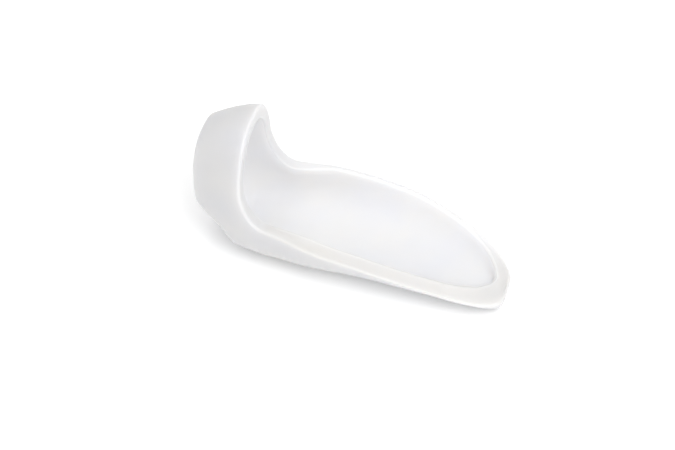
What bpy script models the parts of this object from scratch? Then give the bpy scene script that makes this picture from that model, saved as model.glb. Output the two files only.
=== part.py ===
"""A bunion guard of soft gel, moulded in one piece.

A closed band slips over the big toe. Its back edge runs on into a long shallow scoop, which lies
along the side of the foot over the joint. The guard rests here on the outside of the scoop, with
its hollow up. X runs from the band's front edge to the scoop's tip and the floor is at Z 0.
The form is the same on both sides of its middle line, which runs along the plane Y 0 and leans
towards negative Y by the tip's sweep over the back half. The sizes count X from the band's front
edge, and the finished guard has its origin on the floor under the middle of its length.
"""

import bpy
import numpy as np

MM = 0.001

# Overall
LENGTH = 80.0 * MM
TOE_BAND = 13.3 * MM
BAND_WALL = 3.5 * MM
SCOOP_WALL = 3.7 * MM
EDGE_ROUND = 0.7 * MM

# Toe band, outside
FRONT_TOP = 32.5 * MM
FRONT_BOTTOM = 9.8 * MM
FRONT_WIDTH = 19.2 * MM
BACK_TOP = 38.0 * MM
BACK_WIDTH = 28.3 * MM
BAND_CROWN = 0.9 * MM
BAND_SQUARENESS = 0.81
UNDERSIDE_SQUARENESS = 0.85
CURL_LENGTH = 15.9 * MM

# Scoop, outside
SCOOP_WIDTH = 39.6 * MM
RIM_HEIGHT = 13.7 * MM
RIM_EASE = 0.05
TIP_HEIGHT = 4.2 * MM
TIP_ROUND = 1.5 * MM
TIP_SWEEP = 8.0 * MM
TIP_TURN = 20.0 * MM
UNDERSIDE_FLAT = 0.15 * MM
FILLET_RUN = 7.4 * MM
FILLET_DROP = 12.1 * MM

# Widest level of the outside, as a share of the band's height at its back edge, and the least
# height of it over the keel
BELT_SHARE = 0.53
LEAST_SIDE = 1.5 * MM

# Half widths along the scoop: share of the scoop's length, share of its half width
SCOOP_PLAN = (
    (0.11, 0.75),
    (0.26, 0.86),
    (0.44, 0.94),
    (0.62, 1.00),
    (0.80, 0.94),
    (0.92, 0.69),
    (0.97, 0.45),
    (1.00, 0.25),
)

# Height of the widest level: share of the length, share of the belt height
BELT_LINE = (
    (0.00, 1.12),
    (0.08, 0.95),
    (0.16, 0.77),
    (0.25, 0.60),
    (0.38, 0.68),
    (0.53, 0.86),
    (0.68, 1.03),
    (0.83, 1.11),
    (0.93, 0.81),
    (1.00, 0.24),
)

# Underside of the band from its front edge back: share of the curl's length, share of the lift
CURL = (
    (0.00, 1.00),
    (0.20, 0.69),
    (0.40, 0.48),
    (0.67, 0.02),
    (1.00, 0.00),
)

# Cage: columns from the keel round to the top, rows from the front edge to the rim
COLUMNS = 20
ROW_SHARES = (0.0, 0.07, 0.15, 0.25, 0.36, 0.49, 0.62, 0.75, 0.87, 0.955, 1.0)
SUBDIVISIONS = 1

GEL_COLOUR = (0.86, 0.86, 0.85, 1.0)
GEL_ROUGHNESS = 0.45
GEL_IOR = 1.45


def smooth_through(table, at):
    """Monotone cubic curve through the two columns of a table, read at the given places."""
    xs, ys = np.array(table, float).T
    run = np.diff(xs)
    rise = np.diff(ys) / run
    slopes = np.zeros(len(xs))
    same_way = rise[1:] * rise[:-1] > 0
    weight = np.where(same_way, rise[1:] + rise[:-1], 1.0)
    slopes[1:-1] = np.where(same_way, 2 * rise[1:] * rise[:-1] / weight, 0.0)
    slopes[0] = rise[0]
    slopes[-1] = rise[-1]
    at = np.clip(at, xs[0], xs[-1])
    cell = np.clip(np.searchsorted(xs, at, side="right") - 1, 0, len(run) - 1)
    t = (at - xs[cell]) / run[cell]
    start = (1 + 2 * t) * (1 - t) ** 2 * ys[cell] + t * (1 - t) ** 2 * run[cell] * slopes[cell]
    end = t**2 * (3 - 2 * t) * ys[cell + 1] - t**2 * (1 - t) * run[cell] * slopes[cell + 1]
    return start + end


def half_width(x):
    """Half width of the outside, straight along the band and then along the scoop's plan."""
    scoop = LENGTH - TOE_BAND
    table = [(0.0, FRONT_WIDTH / 2), (TOE_BAND, BACK_WIDTH / 2)]
    table += [(TOE_BAND + share * scoop, width * SCOOP_WIDTH / 2) for share, width in SCOOP_PLAN]
    return smooth_through(table, x)


def belt_height(x):
    """Height of the widest level of the outside."""
    belt = BELT_SHARE * BACK_TOP
    return smooth_through([(share * LENGTH, height * belt) for share, height in BELT_LINE], x)


def keel_height(x):
    """Height of the underside on the middle plane: a curl at the front, flat, then a round tip."""
    curl = smooth_through([(share * CURL_LENGTH, lift * FRONT_BOTTOM) for share, lift in CURL], x)
    into_tip = np.clip((x - (LENGTH - TIP_ROUND)) / TIP_ROUND, 0, 1)
    return curl + TIP_HEIGHT * (1 - np.sqrt(1 - into_tip**2))


def top_height(x):
    """Height of the band's top on the middle plane, a line with a slight crown."""
    share = x / TOE_BAND
    crown = 4 * BAND_CROWN * share * (1 - share)
    return FRONT_TOP + (BACK_TOP - FRONT_TOP) * share + np.where(share < 1, crown, 0.0)


def wall(x):
    """Thickness of the gel, eased from the band's to the scoop's behind the band's back edge."""
    share = np.clip((x - TOE_BAND) / FILLET_RUN, 0, 1)
    return BAND_WALL + (SCOOP_WALL - BAND_WALL) * share**2 * (3 - 2 * share)


def reach(x, depth):
    """Place whose plan and keel a skin at a depth takes: ahead by its depth where the tip turns."""
    share = np.clip((x - (LENGTH - TIP_TURN)) / TIP_TURN, 0, 1)
    return x + depth * wall(x) * share


def levels(x, depth):
    """Heights of the keel, the widest level and the top of the skin at a depth."""
    inset = depth * wall(x)
    keel = keel_height(reach(x, depth)) + inset
    return keel, np.maximum(belt_height(x), keel + LEAST_SIDE), top_height(x) - inset


def skin(x, angle, depth):
    """Points of the skin at a depth, as a share of the wall; angle 0 is the keel and pi the top."""
    keel, belt, top = levels(x, depth)
    low = np.cos(angle) > 0
    power = np.where(low, UNDERSIDE_SQUARENESS, BAND_SQUARENESS)
    across = np.abs(np.sin(angle)) ** power
    along = np.abs(np.cos(angle)) ** power
    y = (half_width(reach(x, depth)) - depth * wall(x)) * across
    z = np.where(low, belt - (belt - keel) * along, belt + (top - belt) * along)
    return np.stack([x, y, z], axis=-1)


def side_profile(inset):
    """Side view of the rim: down the band's back edge, round the fillet and along to the tip.

    The fillet is a quarter of an ellipse and the rim falls evenly to the tip after an eased start.
    The curve is moved into the gel by the inset, at right angles to itself.
    """
    down = np.linspace(BACK_TOP + BAND_WALL, RIM_HEIGHT + FILLET_DROP, 60)[:-1]
    edge = np.stack([np.full(len(down), TOE_BAND), down], axis=-1)
    turn = np.linspace(0, np.pi / 2, 80)[:-1]
    fillet = np.stack(
        [
            TOE_BAND + FILLET_RUN * (1 - np.cos(turn)),
            RIM_HEIGHT + FILLET_DROP * (1 - np.sin(turn)),
        ],
        axis=-1,
    )
    start = TOE_BAND + FILLET_RUN
    share = np.linspace(0, 1, 240)
    fall = (RIM_HEIGHT - TIP_HEIGHT) * share**2 * (1 + RIM_EASE) / (share + RIM_EASE)
    rim = np.stack([start + (LENGTH - start) * share, RIM_HEIGHT - fall], axis=-1)
    line = np.concatenate([edge, fillet, rim])
    along = np.gradient(line, axis=0)
    along /= np.linalg.norm(along, axis=1)[:, None]
    into_gel = np.stack([along[:, 1], -along[:, 0]], axis=-1)
    return line + inset * into_gel


def rim_line(depth, inset):
    """Places (x, angle) where the side profile cuts the skin at a depth, from the tip to the top."""
    x, z = side_profile(inset).T
    keel, belt, top = levels(x, depth)
    low = np.maximum(belt - z, 0.0) / (belt - keel)
    high = np.maximum(z - belt, 0.0) / (top - belt)
    low_cosine = low ** (1 / UNDERSIDE_SQUARENESS)
    cosine = np.where(z < belt, low_cosine, -(high ** (1 / BAND_SQUARENESS)))
    on_skin = np.abs(cosine) < 1
    first = np.argmax(on_skin)
    last = len(x) - 1 - np.argmax(on_skin[::-1])
    if last + 1 < len(x):
        step = (1 - cosine[last]) / (cosine[last + 1] - cosine[last])
        tip = x[last] + step * (x[last + 1] - x[last])
    else:
        tip = x[last]
    places = np.concatenate([[tip], x[first : last + 1][::-1], [x[first]]])
    angles = np.concatenate([[0.0], np.arccos(cosine[first : last + 1])[::-1], [np.pi]])
    return places, angles


def column_shares(places, angles, depth):
    """Share of each rim place among the columns: by angle on the band, by length on the scoop."""
    points = skin(places, angles, depth)
    gone = np.concatenate([[0.0], np.cumsum(np.linalg.norm(np.diff(points, axis=0), axis=1))])
    scoop = places > TOE_BAND + EDGE_ROUND
    bend = len(scoop) - 1 - np.argmax(scoop[::-1])
    at_bend = angles[bend] / np.pi
    on_band = at_bend + (1 - at_bend) * (gone - gone[bend]) / (gone[-1] - gone[bend])
    return np.where(gone <= gone[bend], at_bend * gone / gone[bend], on_band)


def rim_row(depth, inset):
    """One row of the cage that follows the rim."""
    places, angles = rim_line(depth, inset)
    shares = column_shares(places, angles, depth)
    columns = np.linspace(0, 1, COLUMNS + 1)
    return skin(np.interp(columns, shares, places), np.interp(columns, shares, angles), depth)


def skin_rows(depth, inset):
    """Rows of the cage on one skin, from the front edge to the rim, both short of it by the inset."""
    places, angles = rim_line(depth, inset)
    shares = column_shares(places, angles, depth)
    columns = np.linspace(0, 1, COLUMNS + 1)
    ends = np.interp(columns, shares, places)
    rim_angles = np.interp(columns, shares, angles)
    x = inset + np.array(ROW_SHARES)[:, None] * (ends - inset)
    back = np.argsort(places)
    limit = np.where(x > TOE_BAND, np.interp(x, places[back], angles[back]), np.pi)
    ending = np.where(x > TOE_BAND, np.interp(x, places[back], shares[back]), 1.0)
    angle = limit * columns / np.maximum(ending, columns + (columns == 0))
    angle[:, 0] = 0.0
    angle[:, -1] = np.pi
    angle[-1] = rim_angles
    return skin(x, angle, depth)


def front_row(depth, inset):
    """One row of the cage that follows the band's front edge."""
    angle = np.pi * np.linspace(0, 1, COLUMNS + 1)
    return skin(np.full(COLUMNS + 1, inset), angle, depth)


def settled(points):
    """Points moved sideways with the middle line, by the square of the way over the back half.

    The lowest part of the underside is a shallow flat, at the floor.
    """
    share = np.clip(2 * points[..., 0] / LENGTH - 1, 0, 1)
    moved = points.copy()
    moved[..., 1] -= TIP_SWEEP * share**2
    moved[..., 2] = np.maximum(moved[..., 2] - UNDERSIDE_FLAT, 0.0)
    return moved


def guard_cage():
    """Cage of the guard: rows round the wall that close, of columns round the band that close."""
    side = EDGE_ROUND / SCOOP_WALL
    outside = skin_rows(0.0, EDGE_ROUND)
    inside = skin_rows(1.0, EDGE_ROUND)[::-1]
    rim = [rim_row(side, 0.0), rim_row(1 - side, 0.0)]
    front = [front_row(1 - side, 0.0), front_row(side, 0.0)]
    rows = np.concatenate([outside, rim, inside, front])
    rows[:, [0, -1], 1] = 0.0
    other_side = rows[:, :0:-1] * (1, -1, 1)
    return settled(np.concatenate([other_side, rows[:, :-1]], axis=1))


def mesh_from_rows(name, rows):
    """Mesh of quads between rows and columns that both close on themselves."""
    count, width = rows.shape[:2]
    number = np.arange(count * width).reshape(count, width)
    beside = np.roll(number, -1, axis=1)
    after = np.roll(number, -1, axis=0)
    quads = np.stack([number, beside, np.roll(beside, -1, axis=0), after], axis=-1)
    mesh = bpy.data.meshes.new(name)
    mesh.from_pydata(rows.reshape(-1, 3).tolist(), [], quads.reshape(-1, 4).tolist())
    mesh.shade_smooth()
    return mesh


def gel_material():
    """Milky translucent gel."""
    material = bpy.data.materials.new("milky_gel")
    material.use_nodes = True
    shader = material.node_tree.nodes["Principled BSDF"]
    shader.inputs["Base Color"].default_value = GEL_COLOUR
    shader.inputs["Roughness"].default_value = GEL_ROUGHNESS
    shader.inputs["Metallic"].default_value = 0.0
    shader.inputs["IOR"].default_value = GEL_IOR
    return material


def make_guard(collection):
    """The guard: its cage, rounded."""
    mesh = mesh_from_rows("bunion_guard", guard_cage())
    mesh.materials.append(gel_material())
    guard = bpy.data.objects.new("bunion_guard", mesh)
    guard.location = (-LENGTH / 2, 0, 0)
    collection.objects.link(guard)
    rounding = guard.modifiers.new("rounding", "SUBSURF")
    rounding.levels = SUBDIVISIONS
    rounding.render_levels = SUBDIVISIONS
    return guard


for old in list(bpy.data.objects):
    bpy.data.objects.remove(old, do_unlink=True)

guard_parts = bpy.data.collections.new("bunion_guard")
bpy.context.scene.collection.children.link(guard_parts)
make_guard(guard_parts)
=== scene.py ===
import bpy
import numpy as np
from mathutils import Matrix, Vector


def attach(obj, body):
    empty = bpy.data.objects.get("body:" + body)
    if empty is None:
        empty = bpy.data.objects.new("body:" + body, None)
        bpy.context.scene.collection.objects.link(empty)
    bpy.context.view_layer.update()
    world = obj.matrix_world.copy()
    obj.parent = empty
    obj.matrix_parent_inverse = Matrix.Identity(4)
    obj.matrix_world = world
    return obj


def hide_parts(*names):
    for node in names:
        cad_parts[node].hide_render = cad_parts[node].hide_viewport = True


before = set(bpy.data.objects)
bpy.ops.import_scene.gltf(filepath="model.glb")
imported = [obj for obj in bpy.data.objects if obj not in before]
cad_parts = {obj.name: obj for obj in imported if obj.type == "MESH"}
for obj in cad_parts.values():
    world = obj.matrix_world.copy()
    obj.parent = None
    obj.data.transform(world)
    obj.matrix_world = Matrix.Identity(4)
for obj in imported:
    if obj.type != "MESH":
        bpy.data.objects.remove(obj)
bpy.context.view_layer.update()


# The guard
# One piece of soft milky gel, cast in a mould: a closed band that slips over the big toe and a long
# scoop that lies along the joint. Its rim falls outwards along the scoop, and its edges are rounded.

MM = 0.001

# Outside of the band and the scoop, and the gel's thickness
LENGTH = 80.0 * MM
TOE_BAND = 13.3 * MM
BAND_WALL = 3.5 * MM
SCOOP_WALL = 3.7 * MM
FRONT_TOP = 32.5 * MM
FRONT_BOTTOM = 9.8 * MM
FRONT_WIDTH = 19.2 * MM
BACK_TOP = 38.0 * MM
BACK_WIDTH = 28.3 * MM
BAND_CROWN = 0.9 * MM
BAND_SQUARENESS = 0.81
UNDERSIDE_SQUARENESS = 0.85
CURL_LENGTH = 15.9 * MM
SCOOP_WIDTH = 39.6 * MM
RIM_HEIGHT = 13.7 * MM
RIM_EASE = 0.05
TIP_HEIGHT = 4.2 * MM
TIP_ROUND = 1.5 * MM
TIP_SWEEP = 8.0 * MM
TIP_TURN = 20.0 * MM
UNDERSIDE_FLAT = 0.15 * MM
FILLET_RUN = 7.4 * MM
FILLET_DROP = 12.1 * MM
BELT_SHARE = 0.53
LEAST_SIDE = 1.5 * MM

# Edges, the rim's slope over the scoop and the length over which the slope comes in
EDGE_ROUND = 0.7 * MM
INNER_ROUND = 0.5 * MM
RIM_SLOPE = 0.6
SLOPE_RUN = 10.0 * MM

# Length over which the painted tones come in, along the scoop and across it: the near rim's painted
# shade, and the hollow's painted light on the far rim
PAINTED_TONE_RUN = 12.0 * MM

# Gel: size of its clouds, of the skin's grain and of the skin's waves, the height of each of the
# last two, how far light spreads in it, and the range of its skin's roughness
CLOUD_SIZE = 14.0 * MM
GRAIN_SIZE = 0.9 * MM
GRAIN_HEIGHT = 0.05 * MM
WAVE_SIZE = 9.0 * MM
WAVE_HEIGHT = 0.4 * MM
LIGHT_SPREAD = 5.0 * MM
SMOOTHEST = 0.36
ROUGHEST = 0.50
GEL_IOR = 1.45

# Half widths along the scoop: share of the scoop's length, share of its half width
SCOOP_PLAN = (
    (0.11, 0.75),
    (0.26, 0.86),
    (0.44, 0.94),
    (0.62, 1.00),
    (0.80, 0.94),
    (0.92, 0.69),
    (0.97, 0.45),
    (1.00, 0.25),
)

# Height of the widest level: share of the length, share of the belt height
BELT_LINE = (
    (0.00, 1.12),
    (0.08, 0.95),
    (0.16, 0.77),
    (0.25, 0.60),
    (0.38, 0.68),
    (0.53, 0.86),
    (0.68, 1.03),
    (0.83, 1.11),
    (0.93, 0.81),
    (1.00, 0.24),
)

# Underside of the band from its front edge back: share of the curl's length, share of the lift
CURL = (
    (0.00, 1.00),
    (0.20, 0.69),
    (0.40, 0.48),
    (0.67, 0.02),
    (1.00, 0.00),
)

# Grid: columns on each side from the keel to the top, rows on each skin, rows round an edge and
# rows across the rim and across the band's front edge
SIDE_COLUMNS = 116
SKIN_ROWS = 150
ROUND_ROWS = 12
RIM_ROWS = 6
FRONT_ROWS = 6
ROW_CROWDING = 1.5
PROFILE_STEPS = 900


def smooth_through(table, at):
    """Monotone cubic through a table's two columns: on each span a cubic whose end slopes are the
    harmonic mean of the two neighbouring rises, and zero where the rises change sign."""
    xs, ys = np.array(table, float).T
    run = np.diff(xs)
    rise = np.diff(ys) / run
    slopes = np.zeros(len(xs))
    same_way = rise[1:] * rise[:-1] > 0
    weight = np.where(same_way, rise[1:] + rise[:-1], 1.0)
    slopes[1:-1] = np.where(same_way, 2 * rise[1:] * rise[:-1] / weight, 0.0)
    slopes[0] = rise[0]
    slopes[-1] = rise[-1]
    at = np.clip(at, xs[0], xs[-1])
    cell = np.clip(np.searchsorted(xs, at, side="right") - 1, 0, len(run) - 1)
    t = (at - xs[cell]) / run[cell]
    start = (1 + 2 * t) * (1 - t) ** 2 * ys[cell] + t * (1 - t) ** 2 * run[cell] * slopes[cell]
    end = t**2 * (3 - 2 * t) * ys[cell + 1] - t**2 * (1 - t) * run[cell] * slopes[cell + 1]
    return start + end


def eased(share):
    """Smooth step of a share: its square times three less twice the share."""
    share = np.clip(share, 0, 1)
    return share**2 * (3 - 2 * share)


def half_width(x):
    """Half width of the outside: straight along the band, then the scoop's plan."""
    scoop = LENGTH - TOE_BAND
    table = [(0.0, FRONT_WIDTH / 2), (TOE_BAND, BACK_WIDTH / 2)]
    table += [(TOE_BAND + share * scoop, width * SCOOP_WIDTH / 2) for share, width in SCOOP_PLAN]
    return smooth_through(table, x)


def wall(x):
    """Thickness of the gel: the band's, eased to the scoop's by a smooth step over the fillet."""
    return BAND_WALL + (SCOOP_WALL - BAND_WALL) * eased((x - TOE_BAND) / FILLET_RUN)


def reach(x, depth):
    """Place whose plan and keel a skin at a depth takes: ahead by its depth, times the share of
    the way round the tip."""
    share = np.clip((x - (LENGTH - TIP_TURN)) / TIP_TURN, 0, 1)
    return x + depth * wall(x) * share


def levels(x, depth):
    """Heights of the keel, the widest level and the top: the keel is the curl at the front, flat
    along the middle and a quarter ellipse at the tip, and the top is a line with a parabola on it.
    """
    at = reach(x, depth)
    curl = smooth_through([(share * CURL_LENGTH, lift * FRONT_BOTTOM) for share, lift in CURL], at)
    into_tip = np.clip((at - (LENGTH - TIP_ROUND)) / TIP_ROUND, 0, 1)
    keel = curl + TIP_HEIGHT * (1 - np.sqrt(1 - into_tip**2)) + depth * wall(x)
    belt = BELT_SHARE * BACK_TOP
    belt_line = smooth_through([(share * LENGTH, height * belt) for share, height in BELT_LINE], x)
    share = x / TOE_BAND
    crown = np.where(share < 1, 4 * BAND_CROWN * share * (1 - share), 0.0)
    top = FRONT_TOP + (BACK_TOP - FRONT_TOP) * share + crown - depth * wall(x)
    return keel, np.maximum(belt_line, keel + LEAST_SIDE), top


def skin(x, angle, depth):
    """Point of the skin at a depth: an ellipse-like section across X, whose sine and cosine are
    raised to a power under 1 to square it; angle 0 is the keel and pi the top."""
    keel, belt, top = levels(x, depth)
    low = np.cos(angle) > 0
    power = np.where(low, UNDERSIDE_SQUARENESS, BAND_SQUARENESS)
    across = np.abs(np.sin(angle)) ** power
    along = np.abs(np.cos(angle)) ** power
    y = (half_width(reach(x, depth)) - depth * wall(x)) * across
    z = np.where(low, belt - (belt - keel) * along, belt + (top - belt) * along)
    return np.stack([x, y, z], axis=-1)


def side_profile(inset, rise):
    """Side view of the rim: down the band's back edge, a quarter ellipse, then a fall to the tip
    that is the square of the share over the share plus the ease. It is moved into the gel by the
    inset at right angles to itself, less the rise, which comes in by a smooth step over the
    front of the scoop."""
    down = np.linspace(BACK_TOP + BAND_WALL, RIM_HEIGHT + FILLET_DROP, PROFILE_STEPS)[:-1]
    edge = np.stack([np.full(len(down), TOE_BAND), down], axis=-1)
    turn = np.linspace(0, np.pi / 2, PROFILE_STEPS)[:-1]
    fillet_x = TOE_BAND + FILLET_RUN * (1 - np.cos(turn))
    fillet_z = RIM_HEIGHT + FILLET_DROP * (1 - np.sin(turn))
    start = TOE_BAND + FILLET_RUN
    share = np.linspace(0, 1, 2 * PROFILE_STEPS)
    fall = (RIM_HEIGHT - TIP_HEIGHT) * share**2 * (1 + RIM_EASE) / (share + RIM_EASE)
    rim = np.stack([start + (LENGTH - start) * share, RIM_HEIGHT - fall], axis=-1)
    line = np.concatenate([edge, np.stack([fillet_x, fillet_z], axis=-1), rim])
    along = np.gradient(line, axis=0)
    along /= np.linalg.norm(along, axis=1)[:, None]
    move = inset - rise * eased((line[:, 0] - start) / SLOPE_RUN)
    return line + move[:, None] * np.stack([along[:, 1], -along[:, 0]], axis=-1)


def rim_line(depth, inset, rise):
    """Places (x, angle) where the side profile cuts the skin at a depth, from the tip to the top,
    and the share of each among the columns: by angle on the band and by length on the scoop."""
    x, z = side_profile(inset, rise).T
    keel, belt, top = levels(x, depth)
    low = (np.maximum(belt - z, 0.0) / (belt - keel)) ** (1 / UNDERSIDE_SQUARENESS)
    high = (np.maximum(z - belt, 0.0) / (top - belt)) ** (1 / BAND_SQUARENESS)
    cosine = np.where(z < belt, low, -high)
    on_skin = np.abs(cosine) < 1
    first = np.argmax(on_skin)
    last = len(x) - 1 - np.argmax(on_skin[::-1])
    tip = x[last]
    if last + 1 < len(x):
        step = (1 - cosine[last]) / (cosine[last + 1] - cosine[last])
        tip = x[last] + step * (x[last + 1] - x[last])
    places = np.concatenate([[tip], x[first : last + 1][::-1], [x[first]]])
    angles = np.concatenate([[0.0], np.arccos(cosine[first : last + 1])[::-1], [np.pi]])
    points = skin(places, angles, depth)
    gone = np.concatenate([[0.0], np.cumsum(np.linalg.norm(np.diff(points, axis=0), axis=1))])
    scoop = places > TOE_BAND + EDGE_ROUND
    bend = len(scoop) - 1 - np.argmax(scoop[::-1])
    on_scoop = angles[bend] / np.pi * gone / gone[bend]
    return places, angles, np.where(gone <= gone[bend], on_scoop, angles / np.pi)


column_at = np.linspace(0, 1, SIDE_COLUMNS + 1)


def rim_row(depth, inset, rise):
    """One row along the rim."""
    places, angles, shares = rim_line(depth, inset, rise)
    x = np.interp(column_at, shares, places)
    return skin(x, np.interp(column_at, shares, angles), depth)


def skin_rows(depth, inset, rise):
    """Rows on one skin from the front edge to the rim. They crowd towards the rim by a power of
    what is left of the way, and each column keeps its share of the way round to the rim."""
    places, angles, shares = rim_line(depth, inset, rise)
    ends = np.interp(column_at, shares, places)
    row_at = 1 - (1 - np.linspace(0, 1, SKIN_ROWS)) ** ROW_CROWDING
    x = EDGE_ROUND + row_at[:, None] * (ends - EDGE_ROUND)
    back = np.argsort(places, kind="stable")
    limit = np.where(x > TOE_BAND, np.interp(x, places[back], angles[back]), np.pi)
    ending = np.where(x > TOE_BAND, np.interp(x, places[back], shares[back]), 1.0)
    angle = limit * column_at / np.maximum(ending, column_at + (column_at == 0))
    angle[:, 0] = 0.0
    angle[:, -1] = np.pi
    angle[-1] = np.interp(column_at, shares, angles)
    return skin(x, angle, depth)


def front_row(depth, inset):
    """One row round the band's front edge."""
    return skin(np.full(SIDE_COLUMNS + 1, inset), np.pi * column_at, depth)


def edge_steps(radius):
    """Depths and insets round a rounded edge: a quarter circle from the skin to the rim."""
    turn = np.linspace(0, np.pi / 2, ROUND_ROWS + 2)[1:-1]
    depth = radius * (1 - np.cos(turn)) / SCOOP_WALL
    return list(zip(depth, radius * (1 - np.sin(turn))))


def across_edge(rows, inner_radius, slope):
    """Depths, insets and rises from the outside to the inside over an edge: a quarter circle, a
    flat that rises inwards by the slope, and a quarter circle."""
    flat = np.linspace(EDGE_ROUND / SCOOP_WALL, 1 - inner_radius / SCOOP_WALL, rows)
    rise = slope * (flat - flat[0]) * SCOOP_WALL
    outer = [(depth, inset, 0.0) for depth, inset in edge_steps(EDGE_ROUND)]
    inner = [(1 - depth, inset, rise[-1]) for depth, inset in edge_steps(inner_radius)[::-1]]
    return outer + [(depth, 0.0, up) for depth, up in zip(flat, rise)] + inner


def guard_grid():
    """The whole wall as a grid that closes both ways: out over the outside to the rim, across it,
    back over the inside and across the front edge, for both sides of the middle line. The line
    leans sideways by the square of the way over the back half, and the underside has a shallow
    flat at the floor. With it come the shares at each point of painted shade on the near rim and
    of painted light on the hollow and the far rim."""
    over_rim = across_edge(RIM_ROWS, INNER_ROUND, RIM_SLOPE)
    over_front = across_edge(FRONT_ROWS, EDGE_ROUND, 0.0)
    rim = np.stack([rim_row(*step) for step in over_rim])
    front = np.stack([front_row(depth, inset) for depth, inset, _ in over_front[::-1]])
    outside = skin_rows(0.0, EDGE_ROUND, 0.0)
    inside = skin_rows(1.0, INNER_ROUND, over_rim[-1][2])[::-1]
    rows = np.concatenate([outside, rim, inside, front])
    rows[:, [0, -1], 1] = 0.0
    points = np.concatenate([rows[:, :0:-1] * (1, -1, 1), rows[:, :-1]], axis=1)
    share = np.clip(2 * points[..., 0] / LENGTH - 1, 0, 1)
    points[..., 1] -= TIP_SWEEP * share**2
    points[..., 2] = np.maximum(points[..., 2] - UNDERSIDE_FLAT, 0.0)
    points[..., 0] -= LENGTH / 2

    row = np.arange(len(points))[:, None]
    rim_end = SKIN_ROWS + len(over_rim)
    on_rim = (row >= SKIN_ROWS) & (row < rim_end)
    on_hollow = (row >= rim_end) & (row < rim_end + SKIN_ROWS)
    # Masks for painted light and shade: the inside and the far rim are painted lighter, the near rim
    # a warmer tone darker than the far rim's; both come in from the scoop's front and across the
    # middle line
    scoop = np.clip((points[..., 0] + LENGTH / 2 - TOE_BAND) / PAINTED_TONE_RUN, 0, 1)
    near = np.clip(0.5 - points[..., 1] / PAINTED_TONE_RUN, 0, 1)
    painted_light_hollow = on_hollow + on_rim * (1 - near) * scoop
    return points, {"rim": on_rim * near * scoop, "painted_light_hollow": painted_light_hollow}


def closed_grid_mesh(name, points):
    """Mesh of quads over a grid whose rows and columns both close on themselves."""
    count, width = points.shape[:2]
    number = np.arange(count * width).reshape(count, width)
    beside = np.roll(number, -1, axis=1)
    after = np.roll(number, -1, axis=0)
    quads = np.stack([number, beside, np.roll(beside, -1, axis=0), after], axis=-1)
    mesh = bpy.data.meshes.new(name)
    mesh.from_pydata(points.reshape(-1, 3).tolist(), [], quads.reshape(-1, 4).tolist())
    mesh.shade_smooth()
    return mesh


def linear(hex_colour):
    """Linear RGBA of an sRGB hex colour."""
    srgb = np.array([int(hex_colour[i : i + 2], 16) for i in (1, 3, 5)]) / 255
    low = srgb / 12.92
    high = ((srgb + 0.055) / 1.055) ** 2.4
    return (*np.where(srgb <= 0.04045, low, high).tolist(), 1.0)


def add_node(tree, kind, settings=None, values=None, links=None):
    """A node of a kind, with its settings, its sockets' values and the sockets that feed it."""
    node = tree.nodes.new(kind)
    for name, value in (settings or {}).items():
        setattr(node, name, value)
    for name, value in (values or {}).items():
        node.inputs[name].default_value = value
    for name, source in (links or {}).items():
        tree.links.new(source, node.inputs[name])
    return node


def milky_gel():
    """Soft mineral-oil gel, cast: milky and faintly see-through, so light spreads some way inside
    and softens every shade, with a satin skin that is slightly uneven."""
    material = bpy.data.materials.new("milky_gel")
    material.use_nodes = True
    tree = material.node_tree
    shader = tree.nodes["Principled BSDF"]
    place = add_node(tree, "ShaderNodeTexCoord").outputs["Object"]

    # Cloudiness of the cast gel
    cloud = add_node(
        tree,
        "ShaderNodeTexNoise",
        values={"Scale": 1 / CLOUD_SIZE, "Detail": 2.0, "Roughness": 0.5},
        links={"Vector": place},
    )

    def clouded(warm, cool):
        """Colour that goes from a warm tone to a cool one with the cloudiness."""
        ends = {"A": linear(warm), "B": linear(cool)}
        factor = {"Factor": cloud.outputs["Fac"]}
        mix = add_node(tree, "ShaderNodeMix", {"data_type": "RGBA"}, ends, factor)
        return mix.outputs["Result"]

    # Painted light and shade: the hollow and the far rim are painted lighter, standing for light
    # that comes through the wall into the hollow, and the near rim keeps a warmer tone, darker than
    # the far rim's, as painted shade
    layer = clouded("#D2D1CE", "#CBCCD1")
    for name, warm, cool in (("painted_light_hollow", "#E2E1DE", "#DBDCE1"), ("rim", "#D1CFCB", "#CDCDCE")):
        where = add_node(tree, "ShaderNodeAttribute", {"attribute_name": name})
        blend = add_node(
            tree,
            "ShaderNodeMix",
            {"data_type": "RGBA"},
            links={"Factor": where.outputs["Fac"], "A": layer, "B": clouded(warm, cool)},
        )
        layer = blend.outputs["Result"]
    tree.links.new(layer, shader.inputs["Base Color"])

    # Skin: fine grain, with its gloss, on slow waves
    grain = add_node(
        tree,
        "ShaderNodeTexNoise",
        values={"Scale": 1 / GRAIN_SIZE, "Detail": 3.0, "Roughness": 0.6},
        links={"Vector": place},
    )
    waves = add_node(
        tree,
        "ShaderNodeTexNoise",
        values={"Scale": 1 / WAVE_SIZE, "Detail": 1.0},
        links={"Vector": place},
    )
    fine = add_node(
        tree,
        "ShaderNodeBump",
        values={"Strength": 0.25, "Distance": GRAIN_HEIGHT},
        links={"Height": grain.outputs["Fac"]},
    )
    slow = add_node(
        tree,
        "ShaderNodeBump",
        values={"Strength": 0.5, "Distance": WAVE_HEIGHT},
        links={"Height": waves.outputs["Fac"], "Normal": fine.outputs["Normal"]},
    )
    tree.links.new(slow.outputs["Normal"], shader.inputs["Normal"])
    satin = add_node(
        tree,
        "ShaderNodeMapRange",
        values={"To Min": SMOOTHEST, "To Max": ROUGHEST},
        links={"Value": grain.outputs["Fac"]},
    )
    tree.links.new(satin.outputs["Result"], shader.inputs["Roughness"])
    shader.inputs["IOR"].default_value = GEL_IOR
    shader.inputs["Subsurface Weight"].default_value = 1.0
    shader.inputs["Subsurface Radius"].default_value = (1.0, 0.95, 0.9)
    shader.inputs["Subsurface Scale"].default_value = LIGHT_SPREAD
    return material


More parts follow.
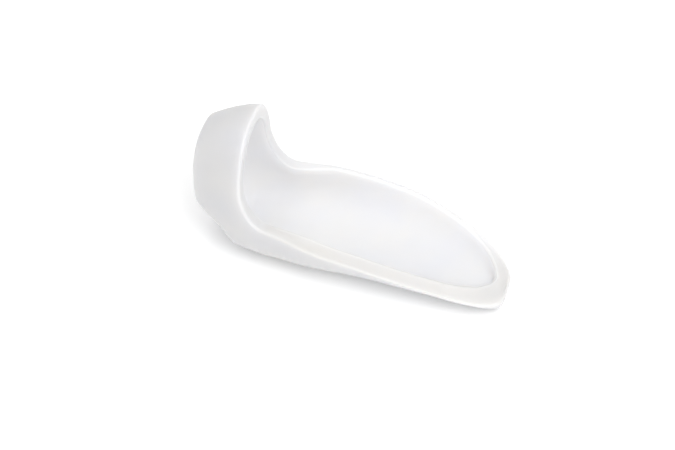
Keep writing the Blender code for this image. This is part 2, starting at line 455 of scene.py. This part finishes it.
guard_points, guard_places = guard_grid()
guard_mesh = closed_grid_mesh("gel_guard", guard_points)
for name, values in guard_places.items():
    guard_mesh.attributes.new(name, "FLOAT", "POINT").data.foreach_set("value", values.ravel())
guard_mesh.materials.append(milky_gel())
guard = bpy.data.objects.new("gel_guard", guard_mesh)
bpy.context.scene.collection.objects.link(guard)
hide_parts("bunion_guard")
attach(guard, "root")


# The floor
# A plain sheet of matt white card that glows faintly by itself, painted light for a lit table under
# it. The guard lies on it, and it looks pure white all round the guard, with a pale shadow.

FLOOR_SIZE = 3.0
FLOOR_GLOW = 0.155


def white_card():
    """Matt white card: no gloss, and a faint even glow of its own that lifts the shadow, painted
    light standing for a lit table.
    """
    material = bpy.data.materials.new("white_card")
    material.use_nodes = True
    shader = material.node_tree.nodes["Principled BSDF"]
    shader.inputs["Base Color"].default_value = linear("#F4F4F4")
    shader.inputs["Roughness"].default_value = 0.95
    shader.inputs["Specular IOR Level"].default_value = 0.0
    shader.inputs["Emission Color"].default_value = linear("#FFFFFF")
    shader.inputs["Emission Strength"].default_value = FLOOR_GLOW
    return material


half = FLOOR_SIZE / 2
floor_mesh = bpy.data.meshes.new("floor")
floor_mesh.from_pydata(
    [(-half, -half, 0), (half, -half, 0), (half, half, 0), (-half, half, 0)], [], [(0, 1, 2, 3)]
)
floor_mesh.materials.append(white_card())
floor = bpy.data.objects.new("floor", floor_mesh)
bpy.context.scene.collection.objects.link(floor)


# Light
# A white tent all round and two large soft lamps, one over the guard and one to the right of the
# camera.

LIGHTS = (
    # name, place, size, power, colour
    ("over", (0.00, 0.05, 0.90), 0.9, 2.7, "#FFFFFF"),
    ("key", (0.38, -0.42, 0.62), 0.5, 3.4, "#FFFFFF"),
)
TENT_STRENGTH = 0.66

world = bpy.data.worlds.new("tent")
world.use_nodes = True
tent = world.node_tree.nodes["Background"]
tent.inputs["Color"].default_value = linear("#FFFFFF")
tent.inputs["Strength"].default_value = TENT_STRENGTH
bpy.context.scene.world = world

for name, place, size, power, colour in LIGHTS:
    lamp_data = bpy.data.lights.new(name, "AREA")
    lamp_data.size = size
    lamp_data.energy = power
    lamp_data.color = linear(colour)[:3]
    lamp = bpy.data.objects.new(name, lamp_data)
    lamp.location = place
    lamp.rotation_euler = Vector(place).to_track_quat("Z", "Y").to_euler()
    bpy.context.scene.collection.objects.link(lamp)

bpy.context.scene.view_settings.view_transform = "Standard"


# Camera
# It looks down on the guard from the near side and a little from the tip's end.

AZIMUTH = np.radians(15.92)
ELEVATION = np.radians(40.80)
DISTANCE = 0.70
AIM = (-0.00806, 0.00875, -0.0004)
PIXELS_WIDE = 675
FOCAL_PIXELS = 2752.0
SENSOR = 36.0

back = Vector(
    (
        np.sin(AZIMUTH) * np.cos(ELEVATION),
        -np.cos(AZIMUTH) * np.cos(ELEVATION),
        np.sin(ELEVATION),
    )
)
camera_data = bpy.data.cameras.new("camera")
camera_data.sensor_width = SENSOR
camera_data.lens = FOCAL_PIXELS / PIXELS_WIDE * SENSOR
camera = bpy.data.objects.new("camera", camera_data)
camera.location = Vector(AIM) + DISTANCE * back
camera.rotation_euler = back.to_track_quat("Z", "Y").to_euler()
bpy.context.scene.collection.objects.link(camera)
bpy.context.scene.camera = camera
